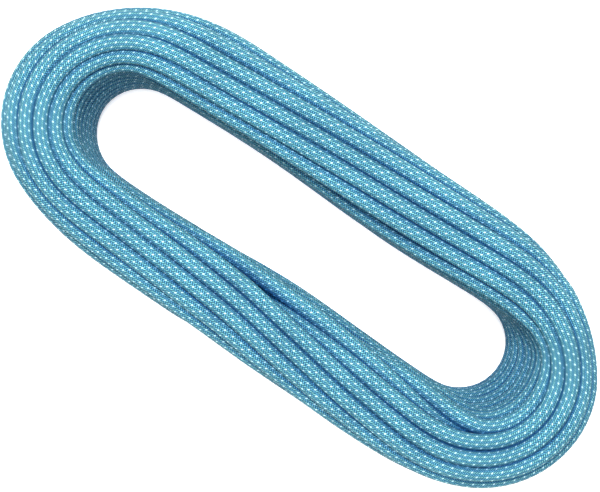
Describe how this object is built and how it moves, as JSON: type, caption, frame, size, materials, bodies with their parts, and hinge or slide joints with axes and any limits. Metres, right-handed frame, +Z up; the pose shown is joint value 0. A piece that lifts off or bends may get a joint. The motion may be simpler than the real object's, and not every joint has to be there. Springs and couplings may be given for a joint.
{
  "type": "dynamic climbing rope",
  "caption": "Dynamic climbing rope wound into a long oval hank, with a braided two-tone blue sheath, a stranded core and sleeved ends.",
  "frame": {"origin": "bottom centre of the hank, on the surface it lies on", "axes": "+X along the hank, +Y across it, +Z up through the hole"},
  "size_m": [0.4, 0.16, 0.094],
  "materials": {
    "braided_sheath": "braided polyamide, light teal and mid blue yarns with fine icy-white flecks",
    "core_yarn": "twisted undyed polyamide yarn",
    "marker_film": "thin identification tape with no print",
    "fused_nylon": "melted and set polyamide, slightly glossy",
    "shrink_sleeve": "black heat-shrink tube, satin",
    "label_film": "white film band with plain coloured stripes, no text"
  },
  "bodies": {
    "root": {"rope_coil": "braided_sheath", "sheath_end_a": "braided_sheath", "sheath_end_b": "braided_sheath", "core_strand_01": "core_yarn", "core_strand_02": "core_yarn", "core_strand_03": "core_yarn", "core_strand_04": "core_yarn", "core_strand_05": "core_yarn", "core_strand_06": "core_yarn", "core_strand_07": "core_yarn", "core_strand_08": "core_yarn", "core_strand_09": "core_yarn", "core_strand_10": "core_yarn", "core_strand_11": "core_yarn", "core_strand_12": "core_yarn", "marker_tape": "marker_film", "end_seal_a": "fused_nylon", "end_seal_b": "fused_nylon", "end_cap_a": "shrink_sleeve", "end_cap_b": "shrink_sleeve", "label_band_a": "label_film", "label_band_b": "label_film"}
  },
  "joints": []
}
